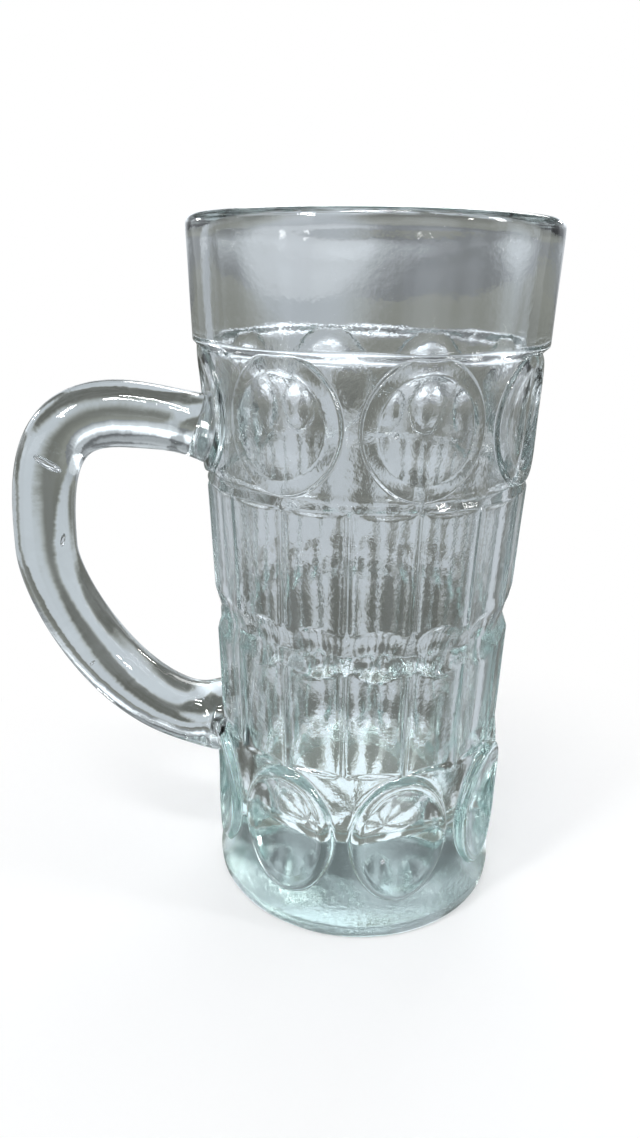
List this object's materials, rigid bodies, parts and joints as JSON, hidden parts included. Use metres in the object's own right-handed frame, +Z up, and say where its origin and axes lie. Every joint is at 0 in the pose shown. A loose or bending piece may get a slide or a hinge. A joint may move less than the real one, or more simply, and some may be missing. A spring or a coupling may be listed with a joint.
{
  "type": "beer mug",
  "caption": "Tall beer mug of clear pressed glass with dished ovals, flutes, a pinched waist, dished lenses at the foot and an applied glass handle.",
  "frame": {"origin": "on the mug's axis, in the plane of the table it stands on", "axes": "+Z up along the mug's axis, -X towards the middle of the handle"},
  "size_m": [0.131, 0.086, 0.171],
  "materials": {
    "pressed_glass": "clear glass with a faint green-grey tint, fire polished, with a slight ripple from the mould",
    "handle_glass": "clear glass with a faint green-grey tint, smooth, with a few long air bubbles"
  },
  "bodies": {
    "root": {"glass_body": "pressed_glass", "handle": "handle_glass"}
  },
  "joints": []
}
